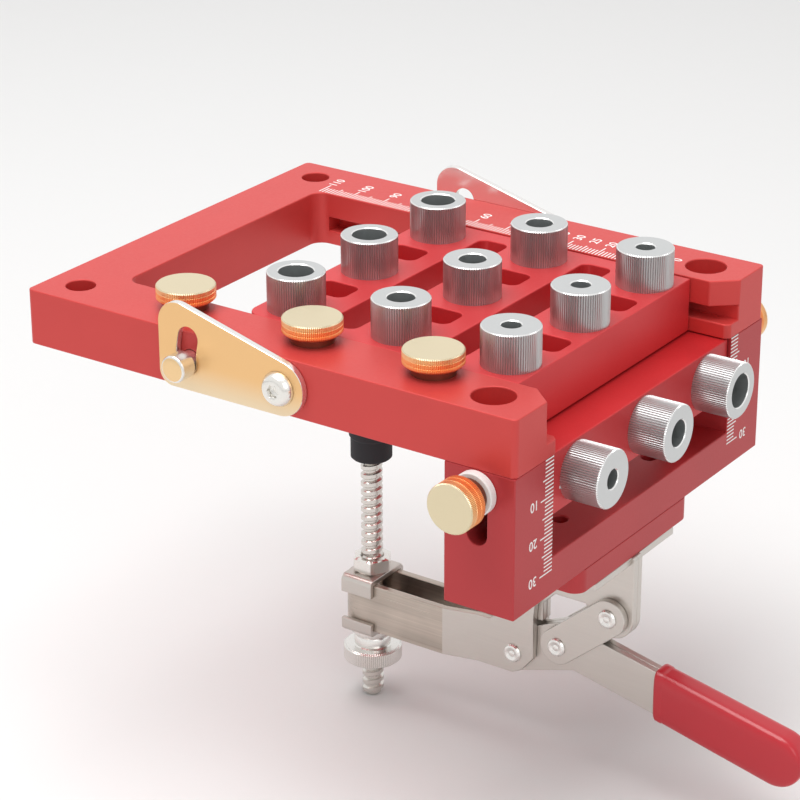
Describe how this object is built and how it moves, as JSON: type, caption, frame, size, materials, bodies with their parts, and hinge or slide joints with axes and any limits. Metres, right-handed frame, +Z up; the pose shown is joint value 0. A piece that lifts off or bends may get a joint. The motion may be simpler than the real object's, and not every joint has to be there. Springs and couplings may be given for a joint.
{
  "type": "hinge drilling jig",
  "caption": "Board-edge drilling jig: grooved U frame, sliding carriage of drill bushings, sliding edge block, side stops, knurled lock knobs and a toggle clamp below.",
  "frame": {"origin": "middle of the corner where the frame's underside meets the fence, the place where the board's upper edge sits", "axes": "+X from the board out to the front, +Y along the board's edge to the far side, +Z up"},
  "size_m": [0.1993, 0.145, 0.1336],
  "materials": {
    "red_anodised": "satin anodised",
    "bushing_grey": "satin fluted",
    "gold_anodised": "satin knurled",
    "zinc": "bright zinc",
    "nickel": "satin nickel",
    "steel": "satin",
    "white_nylon": "matte",
    "red_vinyl": "gloss dipped",
    "black_rubber": "matte"
  },
  "bodies": {
    "frame": {"top_frame": "red_anodised", "front_plate": "red_anodised", "clamp_block": "red_anodised", "frame_screws": "steel", "block_screws": "steel", "stop_screw_near": "zinc", "stop_screw_far": "zinc", "stop_pin_near": "zinc", "stop_pin_far": "zinc", "clamp_base_near": "nickel", "clamp_base_far": "nickel", "flange_screws": "steel", "arm_pivot_rivet": "nickel", "link_pivot_rivet": "nickel"},
    "carriage": {"carriage": "red_anodised", "bushings_small": "bushing_grey", "bushings_middle": "bushing_grey", "bushings_large": "bushing_grey"},
    "drill_block": {"drill_block": "red_anodised", "edge_bushing_small": "bushing_grey", "edge_bushing_middle": "bushing_grey", "edge_bushing_large": "bushing_grey", "lock_washer_near": "white_nylon", "lock_washer_far": "white_nylon"},
    "lock_knob_near": {"lock_knob_near": "gold_anodised"},
    "lock_knob_far": {"lock_knob_far": "gold_anodised"},
    "rail_knob_rear": {"rail_knob_rear": "gold_anodised"},
    "rail_knob_middle": {"rail_knob_middle": "gold_anodised"},
    "rail_knob_front": {"rail_knob_front": "gold_anodised"},
    "side_stop_near": {"side_stop_near": "zinc"},
    "side_stop_far": {"side_stop_far": "zinc"},
    "clamp_arm": {"clamp_arm": "nickel", "handle_pivot_rivet": "nickel"},
    "clamp_handle": {"handle_plate_near": "nickel", "handle_plate_far": "nickel", "handle_grip": "red_vinyl"},
    "clamp_link": {"link_plate_near": "nickel", "link_plate_far": "nickel", "link_handle_rivet": "nickel"},
    "saddles": {"saddle_upper": "nickel", "saddle_lower": "nickel", "spindle_ring": "nickel"},
    "hex_nut": {"hex_nut": "zinc"},
    "knurled_nut": {"knurled_nut": "nickel"},
    "spindle": {"spindle_rod": "steel", "spindle_cap": "black_rubber"}
  },
  "joints": [
    {"name": "carriage_slide", "type": "slide", "parent": "frame", "child": "carriage", "axis": [1, 0, 0], "range_m": [-0.036, 0.01]},
    {"name": "block_slide", "type": "slide", "parent": "frame", "child": "drill_block", "axis": [0, 0, 1], "range_m": [-0.01, 0]},
    {"name": "lock_turn_near", "type": "hinge", "parent": "drill_block", "child": "lock_knob_near", "pos_m": [0.00925, -0.067, -0.00565], "axis": [0, 1, 0], "continuous": true},
    {"name": "lock_turn_far", "type": "hinge", "parent": "drill_block", "child": "lock_knob_far", "pos_m": [0.00925, 0.067, -0.00565], "axis": [0, 1, 0], "continuous": true},
    {"name": "rail_turn_rear", "type": "hinge", "parent": "frame", "child": "rail_knob_rear", "pos_m": [-0.0871, -0.04745, 0.015], "axis": [0, 0, 1], "continuous": true},
    {"name": "rail_turn_middle", "type": "hinge", "parent": "frame", "child": "rail_knob_middle", "pos_m": [-0.0477, -0.04745, 0.015], "axis": [0, 0, 1], "continuous": true},
    {"name": "rail_turn_front", "type": "hinge", "parent": "frame", "child": "rail_knob_front", "pos_m": [-0.012, -0.04745, 0.015], "axis": [0, 0, 1], "continuous": true},
    {"name": "stop_swing_near", "type": "hinge", "parent": "frame", "child": "side_stop_near", "pos_m": [-0.0468, -0.0619, 0.0077], "axis": [0, 1, 0], "range_deg": [-13.5, 0]},
    {"name": "stop_swing_far", "type": "hinge", "parent": "frame", "child": "side_stop_far", "pos_m": [-0.0468, 0.0619, 0.0077], "axis": [0, 1, 0], "range_deg": [-13.5, 0]},
    {"name": "arm_swing", "type": "hinge", "parent": "frame", "child": "clamp_arm", "pos_m": [-0.012, -0.003, -0.0625], "axis": [0, 1, 0], "range_deg": [-45, 0]},
    {"name": "handle_swing", "type": "hinge", "parent": "clamp_arm", "child": "clamp_handle", "pos_m": [-0.0138, -0.003, -0.08], "axis": [0, 1, 0], "range_deg": [0, 88]},
    {"name": "link_swing", "type": "hinge", "parent": "frame", "child": "clamp_link", "pos_m": [0.0145, -0.003, -0.0615], "axis": [0, 1, 0], "range_deg": [-50, 0]},
    {"name": "spindle_shift", "type": "slide", "parent": "clamp_arm", "child": "saddles", "axis": [1, 0, 0], "range_m": [-0.0015, 0.018]},
    {"name": "nut_turn", "type": "hinge", "parent": "saddles", "child": "knurled_nut", "pos_m": [-0.0617, -0.003, -0.092], "axis": [0, 0, 1], "range_deg": [-1440, 1440]},
    {"name": "hex_nut_turn", "type": "hinge", "parent": "saddles", "child": "hex_nut", "pos_m": [-0.0617, -0.003, -0.068], "axis": [0, 0, 1], "range_deg": [-1440, 1440]},
    {"name": "spindle_lift", "type": "slide", "parent": "saddles", "child": "spindle", "axis": [0, 0, 1], "range_m": [-0.01, 0.01]}
  ],
  "couplings": [
    {"joint": "handle_swing", "follows": "arm_swing", "ratio": -1.944},
    {"joint": "link_swing", "follows": "arm_swing", "ratio": 1.095},
    {"joint": "hex_nut_turn", "follows": "nut_turn", "ratio": 1},
    {"joint": "spindle_lift", "follows": "nut_turn", "m_per_rad": -0.00039789}
  ]
}
